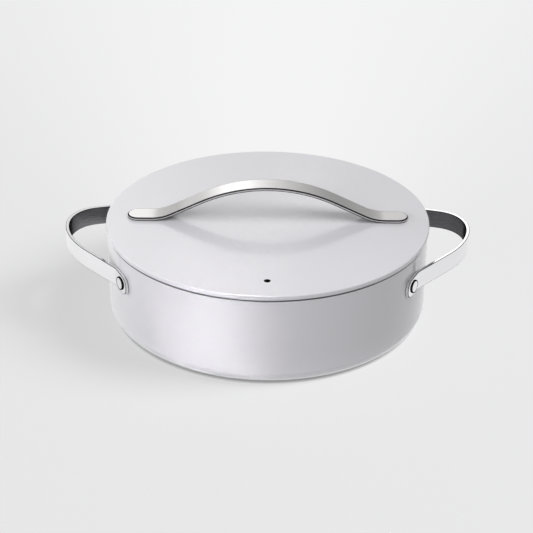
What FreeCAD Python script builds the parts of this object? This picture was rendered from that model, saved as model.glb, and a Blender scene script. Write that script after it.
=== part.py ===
import FreeCAD, Part
import math
import os

Vector = FreeCAD.Vector

# Low round braiser with a flat lid, two riveted loop handles and a wave-shaped strap handle on the lid.
# Millimetres, +Z up. The origin is the centre of the face it stands on, and the handles lie along X.

# Pot: a straight-sided vessel of even wall
pot_inner_radius = 140.0
pot_wall = 3.0
pot_height = 82.2
pot_floor = 5.0
pot_outer_corner = 13.0
pot_inner_corner = 10.0
rim_round_share = 0.33

# Steel plate let into the underside, which stands a little proud and carries the pot.
# Insets are measured from the outer edge of the pot or the lid.
plate_inset = 31.0
plate_thickness = 2.0
plate_stand = 0.6
plate_gap = 0.1
plate_edge_round = 0.4

# Lid: a flat disc with a low seat that rests on the rim, which leaves a narrow gap under the lid's
# edge, and a ring below that centres it in the pot
lid_overhang = 1.0
lid_thickness = 4.2
lid_top_round = 1.0
lid_under_round = 0.5
seat_height = 1.3
seat_inset = 1.2
lid_web = 3.0
ring_depth = 7.0
ring_wall = 3.0
ring_gap = 0.8
ring_round = 1.0
vent_radius = 2.5
vent_flare = 0.4
vent_inset = 26.3

# Strap handle across the lid, bent up from two flat tabs into a long low arch
lid_strap_inset = 19.0
lid_strap_width = 19.5
lid_strap_thickness = 3.0
lid_strap_tab = 21.2
lid_strap_clearance = 30.4
lid_strap_slope = 25.5
lid_strap_foot_radius = 40.5
lid_strap_end_round = 9.5

# Studs under the tabs, which pass through the lid and hold it with a washer and a cap nut
stud_radius = 2.5
stud_inset = 10.6
stud_thread_length = 4.0
stud_hole_gap = 0.2
thread_gap = 0.05
washer_radius = 5.0
washer_thickness = 1.0
nut_across_flats = 8.0
nut_hex_height = 3.5
nut_dome_radius = 3.6
nut_bore_spare = 0.5

# Loop handles on the wall: a strap on edge, with its tabs bent to lie on the wall
loop_stand_out = 37.5
loop_strap_width = 17.0
loop_strap_thickness = 3.0
loop_side_angle = 53.2
loop_bend_radius = 12.0
loop_rise_angle = 13.0
tab_root = 6.5
tab_tip = 10.5
tab_end_round = 7.5

# Rivets through the tabs and the wall, with a low head outside and a flat one inside
rivet_spacing = 142.0
rivet_height = 59.0
rivet_shank_radius = 3.0
rivet_head_radius = 6.0
rivet_head_height = 0.9
rivet_head_round = 0.4
rivet_inner_height = 1.2
rivet_hole_gap = 0.1

# The long edges of both kinds of strap are broken by this rounding
strap_edge_round = 1.0

# Places that follow from the sizes above
pot_outer_radius = pot_inner_radius + pot_wall
pot_floor_top = plate_stand + pot_floor
rim_round = rim_round_share * pot_wall
plate_radius = pot_outer_radius - plate_inset
lid_radius = pot_outer_radius + lid_overhang
seat_radius = pot_outer_radius - seat_inset
lid_underside = pot_height + seat_height
lid_top = lid_underside + lid_thickness
lid_web_bottom = lid_top - lid_web
ring_outer_radius = pot_inner_radius - ring_gap
ring_inner_radius = ring_outer_radius - ring_wall
vent_offset = lid_radius - vent_inset
lid_strap_length = 2 * (lid_radius - lid_strap_inset)
stud_place = lid_strap_length / 2 - stud_inset
tab_face_radius = pot_outer_radius + loop_strap_thickness
loop_mid_radius = pot_outer_radius + loop_strap_thickness / 2
rivet_angle = math.asin(rivet_spacing / 2 / pot_outer_radius)
rivet_place = pot_outer_radius * math.cos(rivet_angle)
rivet_angles = {
    "right_front_rivet": -rivet_angle,
    "right_rear_rivet": rivet_angle,
    "left_front_rivet": math.pi + rivet_angle,
    "left_rear_rivet": math.pi - rivet_angle,
}
loop_rise = math.tan(math.radians(loop_rise_angle))

# Cutting tools reach this far past what they cut, and edges this sharp are rounded on the straps
past = 1.0
sharp_angle = math.radians(30)

ORIGIN = Vector(0, 0, 0)
X_AXIS = Vector(1, 0, 0)
Y_AXIS = Vector(0, 1, 0)
UP = Vector(0, 0, 1)


def rounded_outline(corners):
    """Closed wire in the XZ plane through corners given as (x, z, rounding)."""
    joins = []
    for i, (x, z, rounding) in enumerate(corners):
        here = Vector(x, 0, z)
        before_x, before_z, _ = corners[i - 1]
        after_x, after_z, _ = corners[(i + 1) % len(corners)]
        to_before = (Vector(before_x, 0, before_z) - here).normalize()
        to_after = (Vector(after_x, 0, after_z) - here).normalize()
        half_angle = to_before.getAngle(to_after) / 2
        reach = rounding / math.tan(half_angle)
        inward = (to_before + to_after).normalize()
        middle = here + inward * (rounding / math.sin(half_angle) - rounding)
        joins.append((here + to_before * reach, middle, here + to_after * reach))
    edges = []
    for i, (start, middle, end) in enumerate(joins):
        if corners[i][2] > 0:
            edges.append(Part.Arc(start, middle, end).toShape())
        next_start = joins[(i + 1) % len(joins)][0]
        edges.append(Part.LineSegment(end, next_start).toShape())
    return Part.Wire(edges)


def turned(corners):
    """Solid turned about Z from the outline of its half section."""
    return Part.Face(rounded_outline(corners)).revolve(ORIGIN, UP, 360)


def along(angle):
    return Vector(math.cos(angle), math.sin(angle), 0)


def across(angle):
    return Vector(-math.sin(angle), math.cos(angle), 0)


def side_edges(stretches):
    """Lines and arcs of one face of a strap, in order."""
    edges = []
    for turn, (first, middle, last) in stretches:
        if turn == 0:
            edges.append(Part.LineSegment(first, last).toShape())
        else:
            edges.append(Part.Arc(first, middle, last).toShape())
    return edges


def bent_strap_face(start, heading, runs, thickness):
    """Edge view, in the XY plane, of a strap whose middle line follows straight runs and bends.

    A run is (size, turn): with no turn it is straight and that long, and with one it is an arc of
    that radius, to the left where the turn is positive.
    """
    left = []
    right = []
    here = start
    for size, turn in runs:
        middle_line = []
        for share in (0, 0.5, 1):
            angle = heading + turn * share
            if turn == 0:
                spot = here + along(angle) * (size * share)
            else:
                to_centre = math.copysign(size, turn)
                spot = here + (across(heading) - across(angle)) * to_centre
            middle_line.append((spot, across(angle) * (thickness / 2)))
        left.append((turn, [spot + half for spot, half in middle_line]))
        right.append((turn, [spot - half for spot, half in reversed(middle_line)]))
        here = middle_line[-1][0]
        heading += turn
    right.reverse()
    end_cap = Part.LineSegment(left[-1][1][2], right[0][1][0]).toShape()
    start_cap = Part.LineSegment(right[-1][1][2], left[0][1][0]).toShape()
    return Part.Face(Part.Wire(side_edges(left) + [end_cap] + side_edges(right) + [start_cap]))


def with_broken_edges(strap, radius):
    """Strap with every sharp edge rounded, and the smooth joins between its bends left alone."""
    sharp = []
    for edge in strap.Edges:
        middle = edge.valueAt((edge.FirstParameter + edge.LastParameter) / 2)
        faces = strap.ancestorsOfType(edge, Part.Face)
        normals = [face.normalAt(*face.Surface.parameter(middle)) for face in faces]
        if len(normals) == 2 and normals[0].getAngle(normals[1]) > sharp_angle:
            sharp.append(edge)
    return strap.makeFillet(radius, sharp)


def rivet_hole(angle):
    """Round cutter along a rivet's axis, through the wall and the tab on it."""
    radius = rivet_shank_radius + rivet_hole_gap
    length = tab_face_radius - pot_inner_radius + 2 * past
    start = along(angle) * (pot_inner_radius - past) + UP * rivet_height
    return Part.makeCylinder(radius, length, start, along(angle))


def pot_body():
    recess_radius = plate_radius + plate_gap
    pot = turned([
        (0, plate_thickness, 0),
        (recess_radius, plate_thickness, 0),
        (recess_radius, plate_stand, 0),
        (pot_outer_radius, plate_stand, pot_outer_corner),
        (pot_outer_radius, pot_height, rim_round),
        (pot_inner_radius, pot_height, rim_round),
        (pot_inner_radius, pot_floor_top, pot_inner_corner),
        (0, pot_floor_top, 0),
    ])
    return pot.cut([rivet_hole(angle) for angle in rivet_angles.values()])


def base_plate():
    return turned([
        (0, 0, 0),
        (plate_radius, 0, plate_edge_round),
        (plate_radius, plate_thickness, 0),
        (0, plate_thickness, 0),
    ])


def loop_handle():
    """Loop on the +X side, made as a flat ribbon on edge between two sloping planes."""
    root_angle = rivet_angle - tab_root / loop_mid_radius
    tip_angle = rivet_angle + tab_tip / loop_mid_radius
    side = math.radians(loop_side_angle)
    outermost = pot_outer_radius + loop_stand_out - loop_strap_thickness / 2

    # The straight side touches the bend by the tab and the round end, which sets the end's radius
    bend_centre = along(root_angle) * (loop_mid_radius + loop_bend_radius)
    room = (bend_centre.x - outermost) * math.cos(side) + bend_centre.y * math.sin(side) - loop_bend_radius
    end_radius = room / (1 - math.cos(side))
    side_run = (bend_centre - Vector(outermost - end_radius, 0, 0)).dot(across(side))

    tab = (loop_mid_radius, tip_angle - root_angle)
    bend = (loop_bend_radius, root_angle - side)
    runs = [tab, bend, (side_run, 0), (end_radius, 2 * side), (side_run, 0), bend, tab]
    start = along(-tip_angle) * loop_mid_radius
    plan = bent_strap_face(start, math.pi / 2 - tip_angle, runs, loop_strap_thickness)

    def middle_height(x):
        return rivet_height + loop_rise * (x - rivet_place)

    far = outermost + loop_strap_thickness
    half = loop_strap_width / 2
    band = rounded_outline([
        (0, middle_height(0) - half, 0),
        (far, middle_height(far) - half, 0),
        (far, middle_height(far) + half, 0),
        (0, middle_height(0) + half, 0),
    ])
    deep = 2 * pot_outer_radius
    sloping_band = Part.Face(band).extrude(Y_AXIS * deep).translated(Y_AXIS * (-deep / 2))
    ribbon = plan.extrude(UP * (2 * pot_height)).common(sloping_band)

    # The tabs' corners are rounded off, so that each tab ends nearly in a half circle
    tips = [along(turn * tip_angle) * loop_mid_radius for turn in (-1, 1)]
    corners = []
    for edge in ribbon.Edges:
        middle = edge.CenterOfMass
        flat_middle = Vector(middle.x, middle.y, 0)
        at_tip = min(flat_middle.distanceToPoint(tip) for tip in tips) < loop_strap_thickness / 4
        if at_tip:
            corners.append(edge)
    ribbon = ribbon.makeFillet(tab_end_round, corners)
    ribbon = with_broken_edges(ribbon, strap_edge_round)
    return ribbon.cut([rivet_hole(-rivet_angle), rivet_hole(rivet_angle)])


def rivet(angle):
    """Rivet whose heads are hollowed and rounded to seat on the tab outside and the wall inside."""
    head = turned([
        (0, -past, 0),
        (rivet_head_radius, -past, 0),
        (rivet_head_radius, rivet_head_height, rivet_head_round),
        (0, rivet_head_height, 0),
    ])
    inner_head = Part.makeCylinder(rivet_head_radius, rivet_inner_height + past, UP * -rivet_inner_height, UP)
    shank_length = tab_face_radius - pot_inner_radius + rivet_head_height / 2
    shank = Part.makeCylinder(rivet_shank_radius, shank_length + rivet_inner_height, UP * -rivet_inner_height)
    outward = FreeCAD.Rotation(UP, along(angle))

    def placed(piece, radius):
        piece.Placement = FreeCAD.Placement(along(angle) * radius + UP * rivet_height, outward)
        return piece

    seat = Part.makeCylinder(tab_face_radius, 2 * pot_height)
    inside = Part.makeCylinder(pot_inner_radius, 2 * pot_height)
    outer = placed(head, tab_face_radius).cut(seat)
    inner = placed(inner_head, pot_inner_radius).common(inside)
    return outer.fuse([inner, placed(shank, pot_inner_radius)]).removeSplitter()


def lid_disc():
    disc = turned([
        (0, lid_top, 0),
        (lid_radius, lid_top, lid_top_round),
        (lid_radius, lid_underside, lid_under_round),
        (seat_radius, lid_underside, 0),
        (seat_radius, pot_height, 0),
        (ring_outer_radius, pot_height, 0),
        (ring_outer_radius, pot_height - ring_depth, ring_round),
        (ring_inner_radius, pot_height - ring_depth, ring_round),
        (ring_inner_radius, lid_web_bottom, ring_round),
        (0, lid_web_bottom, 0),
    ])
    through = lid_web + 2 * past
    below = lid_web_bottom - past
    flare_place = Vector(0, -vent_offset, lid_top - vent_flare)
    holes = [
        Part.makeCylinder(vent_radius, through, Vector(0, -vent_offset, below)),
        Part.makeCone(vent_radius, vent_radius + vent_flare, vent_flare, flare_place),
    ]
    for x in (-stud_place, stud_place):
        holes.append(Part.makeCylinder(stud_radius + stud_hole_gap, through, Vector(x, 0, below)))
    return disc.cut(holes)


def lid_handle():
    """Strap bent in the XZ plane, with rounded corners where its tabs end."""
    slope = math.radians(lid_strap_slope)
    foot = lid_strap_length / 2 - lid_strap_tab

    # The slope touches the bend at the foot and the crown, which sets the crown's radius
    both_radii = (foot * math.sin(slope) - lid_strap_clearance * math.cos(slope)) / (1 - math.cos(slope))
    slope_run = (lid_strap_clearance - both_radii * (1 - math.cos(slope))) / math.sin(slope)
    crown = (both_radii - lid_strap_foot_radius, -2 * slope)
    bend = (lid_strap_foot_radius, slope)
    tab = (lid_strap_tab, 0)
    runs = [tab, bend, (slope_run, 0), crown, (slope_run, 0), bend, tab]
    start = Vector(-lid_strap_length / 2, lid_strap_thickness / 2, 0)
    profile = bent_strap_face(start, 0, runs, lid_strap_thickness)
    profile.rotate(ORIGIN, X_AXIS, 90)
    strap = profile.extrude(Y_AXIS * lid_strap_width)

    tall = lid_strap_clearance + 2 * lid_strap_thickness
    plan = Part.makeBox(lid_strap_length, lid_strap_width, tall, Vector(-lid_strap_length / 2, 0, -past))
    upright = [edge for edge in plan.Edges if abs(edge.tangentAt(edge.FirstParameter).z) == 1]
    strap = strap.common(plan.makeFillet(lid_strap_end_round, upright))
    strap = with_broken_edges(strap, strap_edge_round)
    return strap.translated(Vector(0, -lid_strap_width / 2, lid_top))


def stud(x):
    length = lid_web + washer_thickness + stud_thread_length
    return Part.makeCylinder(stud_radius, length, Vector(x, 0, lid_top - length))


def washer(x):
    place = Vector(x, 0, lid_web_bottom - washer_thickness)
    ring = Part.makeCylinder(washer_radius, washer_thickness, place)
    return ring.cut(Part.makeCylinder(stud_radius + stud_hole_gap, washer_thickness, place))


def cap_nut(x):
    """Hexagon with a domed end below, and a blind bore that takes the stud."""
    top = lid_web_bottom - washer_thickness
    corner_radius = nut_across_flats / 2 / math.cos(math.radians(30))
    corners = [along(math.radians(60 * i)) * corner_radius for i in range(7)]
    hexagon = Part.Face(Part.makePolygon(corners)).extrude(UP * nut_hex_height)
    hexagon.translate(Vector(x, 0, top - nut_hex_height))
    dome = Part.makeSphere(nut_dome_radius, Vector(x, 0, top - nut_hex_height), UP, -90, 0)
    depth = stud_thread_length + nut_bore_spare
    bore = Part.makeCylinder(stud_radius + thread_gap, depth, Vector(x, 0, top - depth))
    return hexagon.fuse(dome).cut(bore).removeSplitter()


pieces = {
    "pot_body": pot_body(),
    "base_plate": base_plate(),
    "right_handle": loop_handle(),
    "lid_disc": lid_disc(),
    "lid_handle": lid_handle(),
}
pieces["left_handle"] = pieces["right_handle"].mirror(ORIGIN, X_AXIS)
for name, angle in rivet_angles.items():
    pieces[name] = rivet(angle)
for side, x in (("left", -stud_place), ("right", stud_place)):
    pieces["lid_" + side + "_stud"] = stud(x)
    pieces["lid_" + side + "_washer"] = washer(x)
    pieces["lid_" + side + "_cap_nut"] = cap_nut(x)

os.makedirs("parts", exist_ok=True)
for name, piece in pieces.items():
    piece.exportStep("parts/" + name + ".step")
    print(name, len(piece.Solids), piece.isValid(), round(piece.Volume, 1))
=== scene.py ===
import math

import bmesh
import bpy
from mathutils import Matrix, Vector


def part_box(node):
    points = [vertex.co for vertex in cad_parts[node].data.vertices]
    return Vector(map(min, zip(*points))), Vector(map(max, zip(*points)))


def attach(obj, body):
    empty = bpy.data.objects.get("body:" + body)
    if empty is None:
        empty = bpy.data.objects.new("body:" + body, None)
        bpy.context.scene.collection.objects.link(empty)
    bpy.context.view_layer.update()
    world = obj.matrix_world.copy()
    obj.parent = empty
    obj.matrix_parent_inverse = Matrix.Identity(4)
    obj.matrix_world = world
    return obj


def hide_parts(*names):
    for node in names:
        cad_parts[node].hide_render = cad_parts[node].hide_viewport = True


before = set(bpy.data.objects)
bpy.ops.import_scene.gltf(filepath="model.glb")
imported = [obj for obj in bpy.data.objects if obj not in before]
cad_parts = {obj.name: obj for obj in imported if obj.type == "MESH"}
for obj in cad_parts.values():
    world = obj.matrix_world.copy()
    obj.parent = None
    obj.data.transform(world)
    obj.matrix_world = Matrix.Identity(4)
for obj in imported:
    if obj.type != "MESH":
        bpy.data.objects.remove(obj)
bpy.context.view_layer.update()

# Low round braiser: a coated pot with two riveted loop handles, and a flat vented lid with a strap handle.
# Everything is in metres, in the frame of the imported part.

MM = 0.001
TURN = 2 * math.pi

# Pot and the steel plate let into its underside
pot_low, pot_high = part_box("pot_body")
plate_low, plate_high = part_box("base_plate")
pot_radius = pot_high.x
pot_wall = 3 * MM
pot_inner_radius = pot_radius - pot_wall
pot_rim = pot_high.z
pot_underside = pot_low.z
pot_floor_thickness = 5 * MM
pot_floor = pot_underside + pot_floor_thickness
pot_outer_corner = 13 * MM
pot_inner_corner = 10 * MM
pot_rim_round = 0.99 * MM
# Depth of the rim's top that gets the darker metal, painted seam shade
seam_shade_depth = 0.5 * MM
plate_radius = plate_high.x
plate_top = plate_high.z
plate_gap = 0.1 * MM
plate_edge_round = 0.4 * MM

# Lid with its centring ring and steam vent
lid_low, lid_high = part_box("lid_disc")
lid_radius = lid_high.x
lid_top = lid_high.z
lid_thickness = 4.2 * MM
lid_underside = lid_top - lid_thickness
lid_web = 3 * MM
lid_edge_round = 1 * MM
lid_under_round = 0.5 * MM
seat_inset = 1.2 * MM
seat_radius = pot_radius - seat_inset
ring_gap = 0.8 * MM
ring_wall = 3 * MM
ring_round = 1 * MM
ring_bottom = lid_low.z
vent_from_axis = 117.7 * MM
vent_place = Vector((0, -vent_from_axis, lid_top))
vent_radius = 2.5 * MM
vent_flare = 0.4 * MM
vent_cut_depth = 2 * lid_web

# Strap handle on the lid
lid_strap_low, lid_strap_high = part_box("lid_handle")
lid_strap_half = lid_strap_high.x
lid_strap_width = lid_strap_high.y - lid_strap_low.y
lid_strap_thickness = 3 * MM
lid_strap_clearance = lid_strap_high.z - lid_strap_thickness - lid_top
lid_strap_tab = 21.2 * MM
lid_strap_slope = math.radians(25.5)
lid_strap_foot_radius = 40.5 * MM
lid_strap_end_round = 9.5 * MM

# Loop handles on the wall
loop_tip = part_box("right_handle")[1].x
loop_width = 17 * MM
loop_thickness = 3 * MM
loop_side_angle = math.radians(53.2)
loop_bend_radius = 12 * MM
loop_rise = math.tan(math.radians(13))
loop_tab_root = 6.5 * MM
loop_tab_tip = 10.5 * MM
loop_end_round = 7.5 * MM
loop_end_spare = 1.02
strap_edge_round = 1 * MM

# Rivets
rivet_spacing = 142 * MM
rivet_height = 59 * MM
rivet_shank_radius = 3 * MM
rivet_head_radius = 6 * MM
rivet_head_height = 0.9 * MM
rivet_head_round = 0.4 * MM
rivet_disc_radius = 4.9 * MM
rivet_inner_height = 1.2 * MM
rivet_inner_round = 0.4 * MM
rivet_seat = 0.5 * MM
rivet_angle = math.asin(rivet_spacing / 2 / pot_radius)
rivet_angles = {
    "right_front_rivet": -rivet_angle,
    "right_rear_rivet": rivet_angle,
    "left_front_rivet": math.pi + rivet_angle,
    "left_rear_rivet": math.pi - rivet_angle,
}

# How finely round things are divided
turn_steps = 256
rivet_steps = 48
vent_steps = 48
fine_step = math.radians(2)
arc_steps_least = 4
arc_step_length = 2 * MM
end_segments = 10
edge_segments = 4
smooth_angle = math.radians(40)
merge_distance = 0.002 * MM

# A face counts as level, upright or turned down by the Z of its normal
level_normal = 0.9
upright_normal = 0.3
downward_normal = -0.5

# Noise between these values is spread over the colours and roughness of brushed metal
brush_low = 0.3
brush_high = 0.7

# Bending dulls the lid's strap between these shares of its half length, and fully between the middle two
dull_roughness = 0.62
dull_begins, dull_full, dull_fades, dull_ends = 0.54, 0.66, 0.77, 0.86


# Modelling

def fresh_piece(name, size, place=(0, 0, 0), turn=(0, 0, 0)):
    """Flat square that starts a piece, alone in the selection, with its place and size in its mesh."""
    bpy.ops.object.select_all(action="DESELECT")
    bpy.ops.mesh.primitive_plane_add(size=1, location=place, rotation=turn)
    piece = bpy.context.object
    piece.name = name
    piece.data.name = name
    piece.scale = (size[0], size[1], 1)
    bpy.ops.object.transform_apply(location=True, rotation=True, scale=True)
    bpy.ops.object.mode_set(mode="EDIT")
    return piece


def select_only(piece):
    """Make a piece the selection and the active object."""
    bpy.ops.object.select_all(action="DESELECT")
    piece.select_set(True)
    bpy.context.view_layer.objects.active = piece


def close_up():
    """Merge what spinning left double in the piece being edited, and turn its faces outwards."""
    bpy.ops.mesh.select_all(action="SELECT")
    bpy.ops.mesh.remove_doubles(threshold=merge_distance)
    bpy.ops.mesh.normals_make_consistent(inside=False)
    bpy.ops.object.mode_set(mode="OBJECT")


def add_modifier(piece, kind, **settings):
    """Add a modifier to the piece and apply it."""
    select_only(piece)
    modifier = piece.modifiers.new(kind.lower(), kind)
    for setting, value in settings.items():
        setattr(modifier, setting, value)
    bpy.ops.object.modifier_apply(modifier=modifier.name)


def smooth(piece):
    """Smooth shading that keeps flat faces flat beside small roundings."""
    select_only(piece)
    bpy.ops.object.shade_smooth_by_angle(angle=smooth_angle)
    add_modifier(piece, "WEIGHTED_NORMAL", keep_sharp=True, weight=100)


def turned_piece(name, corners, steps):
    """Piece turned about Z from its half section, given as (radius, height, rounding) corners."""
    piece = fresh_piece(name, (MM, MM))
    spots = [Vector((radius, 0, height)) for radius, height, _ in corners]
    bpy.ops.mesh.merge(type="CENTER")
    bpy.ops.transform.translate(value=spots[0])
    here = spots[0]
    for i in range(1, len(spots)):
        rounding = corners[i][2]
        if rounding == 0:
            bpy.ops.mesh.extrude_vertices_move(TRANSFORM_OT_translate={"value": spots[i] - here})
            here = spots[i]
            continue
        arrive = (spots[i] - spots[i - 1]).normalized()
        leave = (spots[i + 1] - spots[i]).normalized()
        bend = arrive.angle(leave)
        reach = rounding * math.tan(bend / 2)
        start = spots[i] - arrive * reach
        bpy.ops.mesh.extrude_vertices_move(TRANSFORM_OT_translate={"value": start - here})
        inward = (leave - arrive).normalized()
        centre = spots[i] + inward * (rounding / math.cos(bend / 2))
        arc_steps = arc_steps_least + round(rounding / arc_step_length)
        bpy.ops.mesh.spin(steps=arc_steps, angle=bend, center=centre, axis=leave.cross(arrive))
        here = spots[i] + leave * reach
    bpy.ops.mesh.select_all(action="SELECT")
    bpy.ops.mesh.spin(steps=steps, angle=TURN, center=(0, 0, 0), axis=(0, 0, 1))
    close_up()
    return piece


def direction(angle):
    return Vector((math.cos(angle), math.sin(angle), 0))


def leftward(angle):
    return Vector((-math.sin(angle), math.cos(angle), 0))


def bent_strap(name, start, heading, runs, width, thickness, end_round):
    """Strap on edge, whose middle line follows runs in the XY plane, with its width along Z.

    A run is (size, turn): straight and that long with no turn, or an arc of that radius, to the
    left where the turn is positive. The corners of both ends are rounded.
    """
    piece = fresh_piece(name, (thickness, width), start, (math.pi / 2, 0, heading - math.pi / 2))
    bpy.ops.mesh.select_all(action="SELECT")
    here = start.copy()
    for size, turn in runs:
        if turn == 0:
            step = direction(heading) * size
            bpy.ops.mesh.extrude_region_move(TRANSFORM_OT_translate={"value": step})
            here = here + step
        else:
            centre = here + leftward(heading) * math.copysign(size, turn)
            steps = max(1, math.floor(abs(turn) / fine_step))
            bpy.ops.mesh.spin(steps=steps, angle=-turn, center=centre, axis=(0, 0, 1))
            here = centre - leftward(heading + turn) * math.copysign(size, turn)
            heading += turn

    # The corner edges of both ends run through the thickness
    mesh = bmesh.from_edit_mesh(piece.data)
    for element in (*mesh.verts, *mesh.edges, *mesh.faces):
        element.select = False
    for tip in (start, here):
        cap = min(mesh.faces, key=lambda face: (face.calc_center_median() - tip).length)
        for edge in cap.edges:
            rise = edge.verts[0].co.z - edge.verts[1].co.z
            if abs(rise) < width / 2:
                edge.select_set(True)
    bmesh.update_edit_mesh(piece.data)
    bpy.ops.mesh.select_mode(type="EDGE")
    bpy.ops.mesh.bevel(offset=end_round, segments=end_segments, affect="EDGES")
    bpy.ops.mesh.select_mode(type="VERT")
    close_up()
    return piece


def break_edges(piece):
    """Round off the sharp edges all along a strap, and give the roundings the piece's second material: dark
    steel as painted shade.
    """
    add_modifier(
        piece, "BEVEL", width=strap_edge_round, segments=edge_segments, limit_method="ANGLE",
        angle_limit=smooth_angle, material=1,
    )


def place_piece(piece, matrix):
    """Turn and shift a finished piece, with the result in its mesh."""
    select_only(piece)
    piece.matrix_world = matrix
    bpy.ops.object.transform_apply(location=True, rotation=True, scale=True)


def copy_of(piece, name):
    """Copy of a piece with a mesh of its own."""
    twin = piece.copy()
    twin.data = piece.data.copy()
    twin.name = name
    twin.data.name = name
    bpy.context.scene.collection.objects.link(twin)
    return twin


def dress(piece, materials, body, slot, *nodes):
    """Give a piece its materials and its body, and hide the nodes that it stands for. The slot is not used.
    """
    for material in materials:
        piece.data.materials.append(material)
    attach(piece, body)
    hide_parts(*nodes)


# Materials

def linear(hex_colour):
    """Linear RGBA of an sRGB hex value."""
    channels = [int(hex_colour[i:i + 2], 16) / 255 for i in (1, 3, 5)]
    return tuple(c / 12.92 if c <= 0.04045 else ((c + 0.055) / 1.055) ** 2.4 for c in channels) + (1,)


def add_node(tree, kind, settings=None, inputs=None):
    """Node of a tree with its settings, its input values and its links from other sockets."""
    node = tree.nodes.new(kind)
    for setting, value in (settings or {}).items():
        setattr(node, setting, value)
    for socket, value in (inputs or {}).items():
        if isinstance(value, bpy.types.NodeSocket):
            tree.links.new(value, node.inputs[socket])
        else:
            node.inputs[socket].default_value = value
    return node


def fresh_material(name):
    """Material with an empty tree, and the tree."""
    material = bpy.data.materials.new(name)
    material.use_nodes = True
    material.node_tree.nodes.clear()
    return material, material.node_tree


def per_metre(millimetres):
    """Texture scale whose features are this far apart."""
    return 1 / (millimetres * MM)


def sprayed_ceramic_coat():
    """Ceramic coat sprayed on aluminium and baked: pale cool grey, even and glossy."""
    material, tree = fresh_material("sprayed_ceramic_coat")
    place = add_node(tree, "ShaderNodeTexCoord")
    cloud = add_node(
        tree, "ShaderNodeTexNoise", {},
        {"Vector": place.outputs["Object"], "Scale": per_metre(90), "Detail": 1.0, "Roughness": 0.4},
    )
    tint = add_node(
        tree, "ShaderNodeMix", {"data_type": "RGBA"},
        {"Factor": cloud.outputs["Fac"], "A": linear("#DCDBE0"), "B": linear("#DEDDE2")},
    )
    shader = add_node(
        tree, "ShaderNodeBsdfPrincipled", {},
        {"Base Color": tint.outputs["Result"], "Roughness": 0.32, "IOR": 1.5,
         "Coat Weight": 1.0, "Coat Roughness": 0.10, "Coat IOR": 1.5},
    )
    add_node(tree, "ShaderNodeOutputMaterial", {}, {"Surface": shader.outputs["BSDF"]})
    return material


def brushed_steel(name, across, dark, light, rough_low, rough_high, grazing="#FFFFFF", dulled=None):
    """Stainless steel with long parallel brush lines. The function given sets the pattern's coordinates.

    The last colour tints what the steel mirrors at a grazing angle; darker copies darken it as painted
    shade.
    A second function may say where the skin is dull.
    """
    material, tree = fresh_material(name)
    lines = add_node(
        tree, "ShaderNodeTexNoise", {},
        {"Vector": across(tree), "Scale": 1.0, "Detail": 4.0, "Roughness": 0.65},
    )
    tint = add_node(tree, "ShaderNodeValToRGB", {}, {"Fac": lines.outputs["Fac"]})
    tint.color_ramp.elements[0].position = brush_low
    tint.color_ramp.elements[0].color = linear(dark)
    tint.color_ramp.elements[1].position = brush_high
    tint.color_ramp.elements[1].color = linear(light)
    gloss = add_node(
        tree, "ShaderNodeMapRange", {},
        {"Value": lines.outputs["Fac"], "From Min": brush_low, "From Max": brush_high,
         "To Min": rough_high, "To Max": rough_low},
    )
    roughness = gloss.outputs["Result"]
    if dulled:
        dull = add_node(
            tree, "ShaderNodeMix", {"data_type": "FLOAT"},
            {"Factor": dulled(tree), "A": roughness, "B": dull_roughness},
        )
        roughness = dull.outputs["Result"]
    groove = add_node(
        tree, "ShaderNodeBump", {},
        {"Height": lines.outputs["Fac"], "Strength": 0.15, "Distance": 0.01 * MM},
    )
    shader = add_node(
        tree, "ShaderNodeBsdfPrincipled", {},
        {"Base Color": tint.outputs["Color"], "Metallic": 1.0, "Roughness": roughness,
         "Specular Tint": linear(grazing), "Normal": groove.outputs["Normal"]},
    )
    add_node(tree, "ShaderNodeOutputMaterial", {}, {"Surface": shader.outputs["BSDF"]})
    return material


def at_the_feet(tree):
    """1 on the bends at the feet of the lid's strap, where bending dulls the skin, and 0 elsewhere."""
    place = add_node(tree, "ShaderNodeTexCoord")
    split = add_node(tree, "ShaderNodeSeparateXYZ", {}, {"Vector": place.outputs["Object"]})
    outward = add_node(tree, "ShaderNodeMath", {"operation": "ABSOLUTE"}, {0: split.outputs["X"]})
    share = add_node(
        tree, "ShaderNodeMath", {"operation": "DIVIDE"},
        {0: outward.outputs["Value"], 1: lid_strap_half},
    )
    bend = add_node(tree, "ShaderNodeValToRGB", {}, {"Fac": share.outputs["Value"]})
    bend.color_ramp.interpolation = "EASE"
    stops = bend.color_ramp.elements
    stops[0].position = dull_begins
    stops[0].color = (0, 0, 0, 1)
    stops[1].position = dull_ends
    stops[1].color = (0, 0, 0, 1)
    for position in (dull_full, dull_fades):
        stops.new(position).color = (1, 1, 1, 1)
    return bend.outputs["Color"]


def lengthwise(tree):
    """Lines along X, as on the strap of the lid.

    They are drawn 0.6 mm apart because real ones are too fine to show.
    """
    place = add_node(tree, "ShaderNodeTexCoord")
    stretched = add_node(
        tree, "ShaderNodeMapping", {},
        {"Vector": place.outputs["Object"], "Scale": (per_metre(60), per_metre(0.6), per_metre(0.6))},
    )
    return stretched.outputs["Vector"]


def round_and_round(tree):
    """Lines round the axis, as a turned plate has.

    They are drawn 0.8 mm apart because real ones are too fine to show.
    """
    place = add_node(tree, "ShaderNodeTexCoord")
    flat = add_node(
        tree, "ShaderNodeVectorMath", {"operation": "MULTIPLY"},
        {0: place.outputs["Object"], 1: (1, 1, 0)},
    )
    radius = add_node(tree, "ShaderNodeVectorMath", {"operation": "LENGTH"}, {0: flat.outputs["Vector"]})
    scaled = add_node(
        tree, "ShaderNodeMath", {"operation": "MULTIPLY"},
        {0: radius.outputs["Value"], 1: per_metre(0.8)},
    )
    line = add_node(tree, "ShaderNodeCombineXYZ", {}, {"X": scaled.outputs["Value"]})
    return line.outputs["Vector"]


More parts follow.
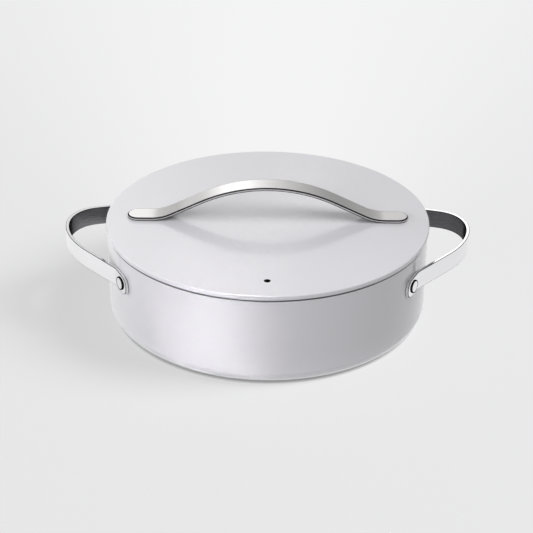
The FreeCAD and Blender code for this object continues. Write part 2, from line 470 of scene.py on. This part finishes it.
def along_the_loop(tree):
    """Lines along the rising loops, where the height less the loop's rise stays the same.

    They are drawn 0.7 mm apart because real ones are too fine to show.
    """
    place = add_node(tree, "ShaderNodeTexCoord")
    split = add_node(tree, "ShaderNodeSeparateXYZ", {}, {"Vector": place.outputs["Object"]})
    outward = add_node(tree, "ShaderNodeMath", {"operation": "ABSOLUTE"}, {0: split.outputs["X"]})
    level = add_node(
        tree, "ShaderNodeMath", {"operation": "MULTIPLY_ADD"},
        {0: outward.outputs["Value"], 1: -loop_rise, 2: split.outputs["Z"]},
    )
    scaled = add_node(
        tree, "ShaderNodeMath", {"operation": "MULTIPLY"},
        {0: level.outputs["Value"], 1: per_metre(0.7)},
    )
    drift = add_node(
        tree, "ShaderNodeMath", {"operation": "MULTIPLY"},
        {0: split.outputs["Y"], 1: per_metre(50)},
    )
    line = add_node(
        tree, "ShaderNodeCombineXYZ", {},
        {"X": scaled.outputs["Value"], "Y": drift.outputs["Value"]},
    )
    return line.outputs["Vector"]


# Baked ceramic coat of the pot and the lid: an even pale surface with soft broad highlights
coat = sprayed_ceramic_coat()

# Lid strap: brushed stainless steel, which draws highlights out along the strap. It is dull where it is
# bent, and on its underside a greyer, darker copy of the steel paints the shade under the strap.
strap_steel = brushed_steel(
    "brushed_stainless_strap", lengthwise, "#D2D1D0", "#E4E3E2", 0.26, 0.36, dulled=at_the_feet,
)
shaded_strap_steel = brushed_steel(
    "shaded_stainless_strap", lengthwise, "#8A8A8B", "#9C9C9D", 0.30, 0.40, "#303030",
)

# Base plate: stainless steel brushed on a lathe, which gives it fine rings
plate_steel = brushed_steel("brushed_stainless_plate", round_and_round, "#C6C5C4", "#D8D7D6", 0.28, 0.38)

# Loops and rivets: polished stainless steel, which mirrors the pale studio and looks almost white.
# Inside the loops a darker copy of the steel paints the shade there, and looks dark grey.
loop_steel = brushed_steel("polished_stainless_loop", along_the_loop, "#EBEBEC", "#F4F4F5", 0.09, 0.13)
shaded_loop_steel = brushed_steel(
    "shaded_stainless_loop", along_the_loop, "#8C8C8D", "#A6A6A7", 0.22, 0.30, "#101010",
)

# Edges of the straps and the heads, and the vent's bore: dark steel whose painted shade draws a thin line
# round each
edge_shade_steel = brushed_steel(
    "painted_edge_shade_steel", lengthwise, "#202021", "#2C2C2D", 0.30, 0.38, "#202020",
)

# Darker metal on top of the pot's rim, a painted shade: it mirrors the shade under the lid as a thin dark
# seam
seam_shade_metal = brushed_steel(
    "seam_shade_rim_metal", round_and_round, "#8E8E90", "#A2A2A4", 0.25, 0.35, "#303030",
)

# Studs, washers and cap nuts of turned stainless steel: plain bright grey
fastener_steel = brushed_steel(
    "turned_stainless_fastener", round_and_round, "#C4C4C3", "#D2D2D1", 0.24, 0.32,
)


# Pot, turned from one section with its floor, wall and rim
pot = turned_piece("pot", [
    (0, plate_top, 0),
    (plate_radius + plate_gap, plate_top, 0),
    (plate_radius + plate_gap, pot_underside, 0),
    (pot_radius, pot_underside, pot_outer_corner),
    (pot_radius, pot_rim, pot_rim_round),
    (pot_inner_radius, pot_rim, pot_rim_round),
    (pot_inner_radius, pot_floor, pot_inner_corner),
    (0, pot_floor, 0),
], turn_steps)
smooth(pot)
dress(pot, [coat, seam_shade_metal], "pot", "ceramic_coat", "pot_body")
# The top of the rim gets the darker metal that paints the seam's shade
for face in pot.data.polygons:
    if face.center.z > pot_rim - seam_shade_depth:
        face.material_index = 1

plate = turned_piece("plate", [
    (0, plate_low.z, 0),
    (plate_radius, plate_low.z, plate_edge_round),
    (plate_radius, plate_top, 0),
    (0, plate_top, 0),
], turn_steps)
smooth(plate)
dress(plate, [plate_steel], "pot", "brushed_stainless", "base_plate")

# Lid, turned from its section and then bored for the vent
ring_outer_radius = pot_inner_radius - ring_gap
ring_inner_radius = ring_outer_radius - ring_wall
lid = turned_piece("lid", [
    (0, lid_top, 0),
    (lid_radius, lid_top, lid_edge_round),
    (lid_radius, lid_underside, lid_under_round),
    (seat_radius, lid_underside, 0),
    (seat_radius, pot_rim, 0),
    (ring_outer_radius, pot_rim, 0),
    (ring_outer_radius, ring_bottom, ring_round),
    (ring_inner_radius, ring_bottom, ring_round),
    (ring_inner_radius, lid_top - lid_web, ring_round),
    (0, lid_top - lid_web, 0),
], turn_steps)
vent_cutter = turned_piece("vent_cutter", [
    (0, -vent_cut_depth, 0),
    (vent_radius, -vent_cut_depth, 0),
    (vent_radius, -vent_flare, 0),
    (vent_radius + 2 * vent_flare, vent_flare, 0),
    (0, vent_flare, 0),
], vent_steps)
place_piece(vent_cutter, Matrix.Translation(vent_place))
add_modifier(lid, "BOOLEAN", operation="DIFFERENCE", object=vent_cutter, solver="EXACT")
bpy.data.objects.remove(vent_cutter)
smooth(lid)
dress(lid, [coat, edge_shade_steel], "lid", "ceramic_coat", "lid_disc")
# The vent's bore gets the dark edge steel: painted shade in the hole
for face in lid.data.polygons:
    from_vent = (face.center - vent_place).xy.length
    if from_vent < vent_radius + vent_flare and abs(face.normal.z) < level_normal:
        face.material_index = 1

# Strap of the lid, bent on edge and then laid over
foot = lid_strap_half - lid_strap_tab
slope_rise = math.sin(lid_strap_slope)
slope_fall = 1 - math.cos(lid_strap_slope)
both_radii = (foot * slope_rise - lid_strap_clearance * math.cos(lid_strap_slope)) / slope_fall
slope_run = (lid_strap_clearance - both_radii * slope_fall) / slope_rise
lid_tab = (lid_strap_tab, 0)
lid_foot = (lid_strap_foot_radius, lid_strap_slope)
lid_slope = (slope_run, 0)
lid_crown = (both_radii - lid_strap_foot_radius, -2 * lid_strap_slope)
lid_strap = bent_strap(
    "lid_strap", Vector((-lid_strap_half, lid_strap_thickness / 2, 0)), 0,
    [lid_tab, lid_foot, lid_slope, lid_crown, lid_slope, lid_foot, lid_tab],
    lid_strap_width, lid_strap_thickness, lid_strap_end_round,
)
lay_over = Matrix.Rotation(math.pi / 2, 4, "X")
place_piece(lid_strap, Matrix.Translation((0, 0, lid_top)) @ lay_over)
dress(lid_strap, [strap_steel, edge_shade_steel, shaded_strap_steel], "lid", "brushed_stainless", "lid_handle")
break_edges(lid_strap)
smooth(lid_strap)
# The strap's underside gets the darker copy of the steel, as painted shade
for face in lid_strap.data.polygons:
    if face.material_index == 0 and face.normal.z < downward_normal:
        face.material_index = 2

# Loop handles: the right one is bent, tilted and copied to the left
loop_middle_radius = pot_radius + loop_thickness / 2
root_angle = rivet_angle - loop_tab_root / loop_middle_radius
tip_angle = rivet_angle + loop_tab_tip / loop_middle_radius
end_stretch = loop_end_round / loop_middle_radius * loop_end_spare
outermost = loop_tip - loop_thickness / 2
bend_centre = direction(root_angle) * (loop_middle_radius + loop_bend_radius)
room = (bend_centre.x - outermost) * math.cos(loop_side_angle) + bend_centre.y * math.sin(loop_side_angle)
loop_end_radius = (room - loop_bend_radius) / (1 - math.cos(loop_side_angle))
side_run = (bend_centre - Vector((outermost - loop_end_radius, 0, 0))).dot(leftward(loop_side_angle))
loop_tip_tab = (loop_middle_radius, end_stretch)
loop_tab = (loop_middle_radius, tip_angle - root_angle - end_stretch)
loop_bend = (loop_bend_radius, root_angle - loop_side_angle)
loop_side = (side_run, 0)
loop_end = (loop_end_radius, 2 * loop_side_angle)
right_loop = bent_strap(
    "right_loop", direction(-tip_angle) * loop_middle_radius, math.pi / 2 - tip_angle,
    [loop_tip_tab, loop_tab, loop_bend, loop_side, loop_end, loop_side, loop_bend, loop_tab, loop_tip_tab],
    loop_width, loop_thickness, loop_end_round,
)
rivet_place = pot_radius * math.cos(rivet_angle)
for vertex in right_loop.data.vertices:
    vertex.co.z += rivet_height + loop_rise * (vertex.co.x - rivet_place)
left_loop = copy_of(right_loop, "left_loop")
place_piece(left_loop, Matrix.Scale(-1, 4, (1, 0, 0)))
bpy.ops.object.mode_set(mode="EDIT")
close_up()
for loop, node, side in ((right_loop, "right_handle", 1), (left_loop, "left_handle", -1)):
    dress(loop, [loop_steel, edge_shade_steel, shaded_loop_steel], "pot", "polished_stainless", node)
    break_edges(loop)
    smooth(loop)

    # The faces round the hole of the loop get the darker copy of the steel, as painted shade
    hole = Vector((side * (pot_radius + loop_tip) / 2, 0, 0))
    for face in loop.data.polygons:
        upright = abs(face.normal.z) < upright_normal
        if face.material_index == 0 and upright and face.normal.dot(hole - face.center) > 0:
            face.material_index = 2

# Rivets: one is turned, and copies go where the others are
shank_length = pot_wall + loop_thickness
rivet = turned_piece("rivet", [
    (0, -rivet_inner_height, 0),
    (rivet_head_radius, -rivet_inner_height, rivet_inner_round),
    (rivet_head_radius, rivet_seat, 0),
    (rivet_shank_radius, rivet_seat, 0),
    (rivet_shank_radius, shank_length - rivet_seat, 0),
    (rivet_head_radius, shank_length - rivet_seat, 0),
    (rivet_head_radius, shank_length + rivet_head_height, rivet_head_round),
    (rivet_disc_radius, shank_length + rivet_head_height, 0),
    (0, shank_length + rivet_head_height, 0),
], rivet_steps)
smooth(rivet)

# A ring of painted shade, in the dark edge steel, runs round the bright disc of the head
for face in rivet.data.polygons:
    if face.center.z > shank_length - rivet_seat and face.center.xy.length > rivet_disc_radius:
        face.material_index = 1
for node, angle in rivet_angles.items():
    copy = copy_of(rivet, node + "_head")
    outward = direction(angle).to_track_quat("Z", "Y").to_matrix().to_4x4()
    spot = direction(angle) * pot_inner_radius + Vector((0, 0, rivet_height))
    place_piece(copy, Matrix.Translation(spot) @ outward)
    dress(copy, [loop_steel, edge_shade_steel], "pot", "polished_stainless", node)
bpy.data.objects.remove(rivet)

# The hidden fasteners keep their shapes and get their steel
for side in ("left", "right"):
    for kind in ("stud", "washer", "cap_nut"):
        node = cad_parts["lid_" + side + "_" + kind]
        for material_slot in node.material_slots:
            material_slot.material = fastener_steel


# Stage: a pale floor, soft lamps and a pale surround

def seen_rays(tree):
    """Two sockets: 1 for rays that come straight from the camera, and 1 for those and for reflections."""
    ray = add_node(tree, "ShaderNodeLightPath")
    straight = add_node(
        tree, "ShaderNodeMath", {"operation": "MAXIMUM"},
        {0: ray.outputs["Is Camera Ray"], 1: ray.outputs["Is Transmission Ray"]},
    )
    seen = add_node(
        tree, "ShaderNodeMath", {"operation": "MAXIMUM"},
        {0: straight.outputs["Value"], 1: ray.outputs["Is Glossy Ray"]},
    )
    return straight.outputs["Value"], seen.outputs["Value"]


# The floor glows for seen rays, as an evenly lit sweep does, and one lamp adds its soft shadow.
# Behind the pot the glow is stronger in a beam that widens, and in the gap under the foot it dies away.
# Close to the foot the floor also bounces light up, as a pale floor does.
floor_size = 12
floor_colour = "#6A6A6B"
floor_glow = 0.622
beam_glow = 0.10
beam_start_length = 0.2
beam_length = 1.0
beam_near_width, beam_far_width = 0.05, 0.52
mirrored_left, mirrored_right = 0.80, 0.64
mirrored_half = 0.4
contact_reach, contact_glow = 3.2 * MM, 0.10
contact_samples = 4
bounce_near, bounce_far, bounce_glow = 145 * MM, 165 * MM, 0.52
floor_material, floor_tree = fresh_material("pale_floor")
floor_straight, floor_is_seen = seen_rays(floor_tree)
floor_place = add_node(floor_tree, "ShaderNodeTexCoord")
floor_split = add_node(floor_tree, "ShaderNodeSeparateXYZ", {}, {"Vector": floor_place.outputs["Object"]})
mirrored_glow = add_node(
    floor_tree, "ShaderNodeMapRange", {},
    {"Value": floor_split.outputs["X"], "From Min": -mirrored_half, "From Max": mirrored_half,
     "To Min": mirrored_left, "To Max": mirrored_right},
)
floor_reach = add_node(
    floor_tree, "ShaderNodeVectorMath", {"operation": "LENGTH"}, {0: floor_place.outputs["Object"]},
)
bounce = add_node(
    floor_tree, "ShaderNodeMapRange", {"interpolation_type": "SMOOTHSTEP"},
    {"Value": floor_reach.outputs["Value"], "From Min": bounce_near, "From Max": bounce_far,
     "To Min": bounce_glow, "To Max": 0.0},
)
floor_mirrored = add_node(
    floor_tree, "ShaderNodeMix", {"data_type": "FLOAT"},
    {"Factor": floor_is_seen, "A": bounce.outputs["Result"], "B": mirrored_glow.outputs["Result"]},
)
beam_width = add_node(
    floor_tree, "ShaderNodeMapRange", {},
    {"Value": floor_split.outputs["Y"], "From Min": 0.0, "From Max": beam_length,
     "To Min": beam_near_width, "To Max": beam_far_width},
)
beam_across = add_node(
    floor_tree, "ShaderNodeMath", {"operation": "DIVIDE"},
    {0: floor_split.outputs["X"], 1: beam_width.outputs["Result"]},
)
beam_fall = add_node(
    floor_tree, "ShaderNodeMath", {"operation": "MULTIPLY"},
    {0: beam_across.outputs["Value"], 1: beam_across.outputs["Value"]},
)
beam_shape = add_node(
    floor_tree, "ShaderNodeMath", {"operation": "POWER"},
    {0: math.exp(-1), 1: beam_fall.outputs["Value"]},
)
beam_start = add_node(
    floor_tree, "ShaderNodeMapRange", {"interpolation_type": "SMOOTHSTEP"},
    {"Value": floor_split.outputs["Y"], "From Min": 0.0, "From Max": beam_start_length,
     "To Min": 0.0, "To Max": beam_glow},
)
floor_lit = add_node(
    floor_tree, "ShaderNodeMath", {"operation": "MULTIPLY_ADD"},
    {0: beam_shape.outputs["Value"], 1: beam_start.outputs["Result"], 2: floor_glow},
)
contact = add_node(
    floor_tree, "ShaderNodeAmbientOcclusion", {"samples": contact_samples}, {"Distance": contact_reach},
)
floor_open = add_node(
    floor_tree, "ShaderNodeMix", {"data_type": "FLOAT"},
    {"Factor": contact.outputs["AO"], "A": contact_glow, "B": floor_lit.outputs["Value"]},
)
floor_level = add_node(
    floor_tree, "ShaderNodeMix", {"data_type": "FLOAT"},
    {"Factor": floor_straight, "A": floor_mirrored.outputs["Result"], "B": floor_open.outputs["Result"]},
)
floor_shader = add_node(
    floor_tree, "ShaderNodeBsdfPrincipled", {},
    {"Base Color": linear(floor_colour), "Roughness": 1.0, "Specular IOR Level": 0.0,
     "Emission Color": (1, 1, 1, 1), "Emission Strength": floor_level.outputs["Result"]},
)
add_node(floor_tree, "ShaderNodeOutputMaterial", {}, {"Surface": floor_shader.outputs["BSDF"]})
bpy.ops.object.select_all(action="DESELECT")
bpy.ops.mesh.primitive_plane_add(size=floor_size, location=(0, 0, 0))
floor = bpy.context.object
floor.name = "floor"
floor.data.materials.append(floor_material)
floor_only = bpy.data.collections.new("floor_only")
floor_only.objects.link(floor)
all_but_floor = bpy.data.collections.new("all_but_floor")
all_but_floor.objects.link(floor)
all_but_floor.collection_objects[0].light_linking.link_state = "EXCLUDE"


def soft_lamp(name, place, aim, size, level, spread=None):
    """Rectangular lamp whose level is the brightness that it alone gives a white card facing it at the aim.

    A narrower spread gathers its light, so it needs less power.
    """
    light = bpy.data.lights.new(name, "AREA")
    light.shape = "RECTANGLE"
    light.size, light.size_y = size
    reach = Vector(aim) - Vector(place)
    light.energy = level * math.pi ** 2 * reach.length_squared
    if spread:
        light.spread = spread
        light.energy *= 1 - spread / 2 / math.tan(spread / 2)
    lamp = bpy.data.objects.new(name, light)
    lamp.location = place
    lamp.rotation_mode = "QUATERNION"
    lamp.rotation_quaternion = reach.to_track_quat("-Z", "Y")
    lamp.visible_camera = False
    bpy.context.scene.collection.objects.link(lamp)
    return lamp


# Soft lamps light the object and don't show in it. One narrow lamp lights the front left of the wall,
# and one more lights the floor alone.
lamp_aim = (0, 0, 0.06)
pool_aim = (-0.046, -0.13, 0.038)
pool_spread = math.radians(6.5)
fill_lamps = [
    soft_lamp("overhead_softbox", (0.10, -0.42, 1.40), lamp_aim, (0.9, 1.3), 0.535),
    soft_lamp("left_softbox", (-1.25, 0.28, 0.33), lamp_aim, (0.9, 0.4), 0.54),
    soft_lamp("front_left_fill", (-0.80, -1.05, 0.60), lamp_aim, (0.8, 0.4), 0.45),
    soft_lamp("right_softbox", (1.00, -0.50, 0.95), lamp_aim, (0.8, 0.5), 0.26),
    soft_lamp("rear_fill", (0.0, 1.25, 0.06), lamp_aim, (1.0, 0.12), 0.24),
]
for lamp in fill_lamps:
    lamp.visible_glossy = False
object_lamps = fill_lamps + [
    soft_lamp("front_left_softbox", (-0.37, -1.00, 0.25), pool_aim, (0.06, 0.30), 4.1, pool_spread),
]
floor_lamps = [
    soft_lamp("side_softbox", (7.07, -0.40, 7.07), lamp_aim, (4.6, 6.0), 1.96),
]
for lamps, reached in ((object_lamps, all_but_floor), (floor_lamps, floor_only)):
    for lamp in lamps:
        lamp.light_linking.receiver_collection = reached

# What the metal and the coat mirror: a bright rear wall that falls off sideways, and pale walls in front
# and at both sides. The numbers are parts of a direction of length 1 and the brightness seen there.
surround_glow = 0.9
ambient = 0.02
rear_from, rear_to = -0.2, 0.6
rear_least, rear_most = 0.03, 2.0
fall_off_half = 0.5
fall_off_end = 0.27
fall_off_levels = {
    -0.44: 0.24, -0.34: 0.36, -0.24: 1.0, -0.17: 0.96,
    -0.09: 0.65, 0.0: 0.48, 0.19: 0.32, 0.36: 0.18,
}
front_from, front_to = -0.74, -0.50
side_from, side_to = 0.55, 0.74
pale_wall_glow = 0.70
world = bpy.data.worlds.new("studio")
bpy.context.scene.world = world
world.use_nodes = True
world_tree = world.node_tree
world_tree.nodes.clear()
world_straight, world_is_seen = seen_rays(world_tree)
world_place = add_node(world_tree, "ShaderNodeTexCoord")
world_split = add_node(
    world_tree, "ShaderNodeSeparateXYZ", {}, {"Vector": world_place.outputs["Generated"]},
)
rear_wall = add_node(
    world_tree, "ShaderNodeMapRange", {"interpolation_type": "SMOOTHSTEP"},
    {"Value": world_split.outputs["Y"], "From Min": rear_from, "From Max": rear_to,
     "To Min": rear_least, "To Max": rear_most},
)
across = add_node(
    world_tree, "ShaderNodeMapRange", {},
    {"Value": world_split.outputs["X"], "From Min": -fall_off_half, "From Max": fall_off_half},
)
fall_off = add_node(world_tree, "ShaderNodeValToRGB", {}, {"Fac": across.outputs["Result"]})
fall_off.color_ramp.interpolation = "B_SPLINE"
fall_off_stops = fall_off.color_ramp.elements
fall_off_stops.remove(fall_off_stops[1])
fall_off_stops[0].position = 0.0
fall_off_stops[0].color = (fall_off_end, fall_off_end, fall_off_end, 1)
for sideways, level in fall_off_levels.items():
    fall_off_stops.new(sideways + fall_off_half).color = (level, level, level, 1)
rear_light = add_node(
    world_tree, "ShaderNodeMath", {"operation": "MULTIPLY"},
    {0: rear_wall.outputs["Result"], 1: fall_off.outputs["Color"]},
)
front_wall = add_node(
    world_tree, "ShaderNodeMapRange", {"interpolation_type": "SMOOTHSTEP"},
    {"Value": world_split.outputs["Y"], "From Min": front_from, "From Max": front_to,
     "To Min": pale_wall_glow, "To Max": 0.0},
)
to_the_side = add_node(
    world_tree, "ShaderNodeMath", {"operation": "ABSOLUTE"}, {0: world_split.outputs["X"]},
)
side_walls = add_node(
    world_tree, "ShaderNodeMapRange", {"interpolation_type": "SMOOTHSTEP"},
    {"Value": to_the_side.outputs["Value"], "From Min": side_from, "From Max": side_to,
     "To Min": 0.0, "To Max": pale_wall_glow},
)
pale_walls = add_node(
    world_tree, "ShaderNodeMath", {"operation": "MAXIMUM"},
    {0: front_wall.outputs["Result"], 1: side_walls.outputs["Result"]},
)
all_walls = add_node(
    world_tree, "ShaderNodeMath", {"operation": "MAXIMUM"},
    {0: rear_light.outputs["Value"], 1: pale_walls.outputs["Value"]},
)
reflected = add_node(
    world_tree, "ShaderNodeMix", {"data_type": "FLOAT"},
    {"Factor": world_is_seen, "A": ambient, "B": all_walls.outputs["Value"]},
)
surround_level = add_node(
    world_tree, "ShaderNodeMix", {"data_type": "FLOAT"},
    {"Factor": world_straight, "A": reflected.outputs["Result"], "B": surround_glow},
)
surround = add_node(
    world_tree, "ShaderNodeBackground", {},
    {"Color": (1, 1, 1, 1), "Strength": surround_level.outputs["Result"]},
)
add_node(world_tree, "ShaderNodeOutputWorld", {}, {"Surface": surround.outputs["Background"]})

# Camera, at the height and distance that put the lid's edge, the foot and the handles where they are seen
camera_rise = 0.4628
camera_distance = 1.4318
camera_tilt_down = math.radians(1.752)
camera_roll = 0.0109
camera_lens = 108.2
look_at = Vector((-0.0007, 0, 0.0876))
camera_back = Vector((0, -math.cos(camera_rise), math.sin(camera_rise)))
camera_data = bpy.data.cameras.new("camera")
camera_data.sensor_width = 36
camera_data.lens = camera_lens
camera = bpy.data.objects.new("camera", camera_data)
bpy.context.scene.collection.objects.link(camera)
camera_turn = Matrix.Rotation(math.pi / 2 - camera_rise - camera_tilt_down, 4, "X")
camera_place = Matrix.Translation(look_at + camera_back * camera_distance)
camera.matrix_world = camera_place @ camera_turn @ Matrix.Rotation(camera_roll, 4, "Z")
bpy.context.scene.camera = camera

bpy.context.scene.view_settings.view_transform = "Standard"
